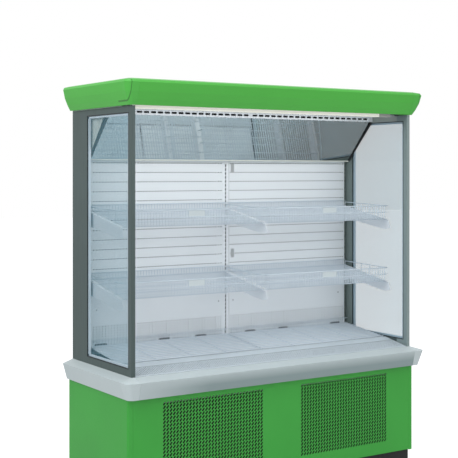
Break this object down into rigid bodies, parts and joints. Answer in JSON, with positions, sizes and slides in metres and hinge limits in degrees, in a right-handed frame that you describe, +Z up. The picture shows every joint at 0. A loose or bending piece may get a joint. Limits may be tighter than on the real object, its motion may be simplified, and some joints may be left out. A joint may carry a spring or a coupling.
{
  "type": "open multideck display fridge",
  "caption": "Free-standing open-front display fridge with glass ends, green cornice and lower body, grey bumper, wire shelves over a sloping wire deck.",
  "frame": {"origin": "on the floor, under the middle of the cabinet's overall width and depth", "axes": "+Z up, +X to the right seen from the shopper's side, +Y from the open front towards the back wall"},
  "size_m": [1.796, 0.687, 2.003],
  "materials": {
    "frame_steel": "satin grey powder coat",
    "galvanised": "plain galvanised sheet",
    "body_green": "satin green powder coat",
    "plinth_black": "satin black",
    "foot_rubber": "matt black pads on zinc stems",
    "compressor_black": "black enamel",
    "coil_fins": "bare fins",
    "black_plastic": "matt",
    "fan_plastic": "matt",
    "control_grey": "satin",
    "switch_plastic": "gloss rocker",
    "copper": "drawn copper tube",
    "liner_white": "white coated sheet",
    "insulated_wall": "white skin over foam",
    "drain_plastic": "grey waste pipe",
    "bumper_grey": "moulded grey",
    "bumper_corner_grey": "moulded grey",
    "end_frame_grey": "satin grey",
    "glass": "clear double pane",
    "cornice_green": "bright green moulding",
    "cornice_corner_green": "bright green moulding",
    "lamp_cream": "opal diffuser",
    "lamp_cap_grey": "matt",
    "mirror": "silvered",
    "trim_cream": "satin cream",
    "curtain_cloth": "woven night curtain",
    "bar_aluminium": "anodised",
    "shelf_white": "white powder coat",
    "shelf_wire": "white coated wire"
  },
  "bodies": {
    "cabinet": {"base_frame": "frame_steel", "base_tray": "galvanised", "body_panel_left": "body_green", "body_panel_right": "body_green", "front_rail": "frame_steel", "rear_vent_panel": "galvanised", "kick_plate": "plinth_black", "compressor": "compressor_black", "condenser_coil": "coil_fins", "condenser_shroud": "black_plastic", "condenser_fan_motor": "compressor_black", "evaporating_tray": "galvanised", "electrical_box": "control_grey", "refrigerant_pipes": "copper", "cable_gland": "black_plastic", "insulated_tub": "insulated_wall", "evaporator_coil": "coil_fins", "fan_plate": "liner_white", "evaporator_fan_frames": "black_plastic", "drain_pipe": "drain_plastic", "bumper_front": "bumper_grey", "bumper_sides": "bumper_grey", "bumper_corners": "bumper_corner_grey", "end_frame_left": "end_frame_grey", "end_frame_right": "end_frame_grey", "end_glass": "glass", "rear_wall": "insulated_wall", "upper_back_panels": "liner_white", "lower_back_panels": "liner_white", "shelf_uprights": "liner_white", "roof_panel": "insulated_wall", "canopy_frame": "frame_steel", "cornice_front": "cornice_green", "cornice_sides": "cornice_green", "cornice_corners": "cornice_corner_green", "lamp_diffuser": "lamp_cream", "lamp_end_caps": "lamp_cap_grey", "air_outlet": "liner_white", "mirror_panel": "mirror", "mirror_trim": "trim_cream", "curtain_strip": "curtain_cloth", "shelf_brackets": "shelf_white"},
    "front_cover": {"front_grille_panel": "body_green"},
    "foot_front_left": {"levelling_foot_front_left": "foot_rubber"},
    "foot_front_right": {"levelling_foot_front_right": "foot_rubber"},
    "foot_rear_left": {"levelling_foot_rear_left": "foot_rubber"},
    "foot_rear_right": {"levelling_foot_rear_right": "foot_rubber"},
    "machine_fan": {"condenser_fan": "fan_plastic"},
    "coil_fan_left": {"evaporator_fan_left": "fan_plastic"},
    "coil_fan_right": {"evaporator_fan_right": "fan_plastic"},
    "switch": {"rocker_switch": "switch_plastic"},
    "roller": {"curtain_roll": "curtain_cloth"},
    "pull_bar": {"curtain_pull_bar": "bar_aluminium"},
    "shelf_upper_left": {"wire_shelf_upper_left": "shelf_wire"},
    "shelf_upper_right": {"wire_shelf_upper_right": "shelf_wire"},
    "shelf_lower_left": {"wire_shelf_lower_left": "shelf_wire"},
    "shelf_lower_right": {"wire_shelf_lower_right": "shelf_wire"},
    "rack_left": {"deck_grid_left": "shelf_wire"},
    "rack_right": {"deck_grid_right": "shelf_wire"},
    "inlet_grille": {"return_air_grille": "shelf_white"}
  },
  "joints": [
    {"name": "curtain_pull", "type": "slide", "parent": "cabinet", "child": "pull_bar", "axis": [0, 0, -1], "range_m": [0, 1.23], "stiffness_N_per_m": 5, "springref_m": -3, "deforming": ["curtain_strip"]},
    {"name": "roller_turn", "type": "hinge", "parent": "cabinet", "child": "roller", "pos_m": [0, -0.2495, 1.926], "axis": [1, 0, 0], "range_deg": [0, 3600]},
    {"name": "shelf_upper_left_lift", "type": "slide", "parent": "cabinet", "child": "shelf_upper_left", "axis": [0, 0, 1], "range_m": [0, 0.15]},
    {"name": "shelf_upper_right_lift", "type": "slide", "parent": "cabinet", "child": "shelf_upper_right", "axis": [0, 0, 1], "range_m": [0, 0.15]},
    {"name": "shelf_lower_left_lift", "type": "slide", "parent": "cabinet", "child": "shelf_lower_left", "axis": [0, 0, 1], "range_m": [0, 0.15]},
    {"name": "shelf_lower_right_lift", "type": "slide", "parent": "cabinet", "child": "shelf_lower_right", "axis": [0, 0, 1], "range_m": [0, 0.15]},
    {"name": "rack_left_lift", "type": "slide", "parent": "cabinet", "child": "rack_left", "axis": [0, 0, 1], "range_m": [0, 0.15]},
    {"name": "rack_right_lift", "type": "slide", "parent": "cabinet", "child": "rack_right", "axis": [0, 0, 1], "range_m": [0, 0.15]},
    {"name": "inlet_grille_lift", "type": "slide", "parent": "cabinet", "child": "inlet_grille", "axis": [0, 0, 1], "range_m": [0, 0.15]},
    {"name": "front_cover_pull", "type": "slide", "parent": "cabinet", "child": "front_cover", "axis": [0, -1, 0], "range_m": [0, 0.25]},
    {"name": "machine_fan_spin", "type": "hinge", "parent": "cabinet", "child": "machine_fan", "pos_m": [0.38, -0.1555, 0.2715], "axis": [0, 1, 0], "continuous": true},
    {"name": "coil_fan_left_spin", "type": "hinge", "parent": "cabinet", "child": "coil_fan_left", "pos_m": [-0.39, -0.1145, 0.5785], "axis": [0, 1, 0], "continuous": true},
    {"name": "coil_fan_right_spin", "type": "hinge", "parent": "cabinet", "child": "coil_fan_right", "pos_m": [0.39, -0.1145, 0.5785], "axis": [0, 1, 0], "continuous": true},
    {"name": "switch_rock", "type": "hinge", "parent": "cabinet", "child": "switch", "pos_m": [-0.7, -0.236, 0.2849], "axis": [1, 0, 0], "range_deg": [-18, 0]},
    {"name": "foot_front_left_turn", "type": "hinge", "parent": "cabinet", "child": "foot_front_left", "pos_m": [-0.76, -0.2265, 0], "axis": [0, 0, 1], "continuous": true},
    {"name": "foot_front_right_turn", "type": "hinge", "parent": "cabinet", "child": "foot_front_right", "pos_m": [0.76, -0.2265, 0], "axis": [0, 0, 1], "continuous": true},
    {"name": "foot_rear_left_turn", "type": "hinge", "parent": "cabinet", "child": "foot_rear_left", "pos_m": [-0.76, 0.2885, 0], "axis": [0, 0, 1], "continuous": true},
    {"name": "foot_rear_right_turn", "type": "hinge", "parent": "cabinet", "child": "foot_rear_right", "pos_m": [0.76, 0.2885, 0], "axis": [0, 0, 1], "continuous": true}
  ],
  "couplings": [
    {"joint": "roller_turn", "follows": "curtain_pull", "rad_per_m": 50}
  ]
}
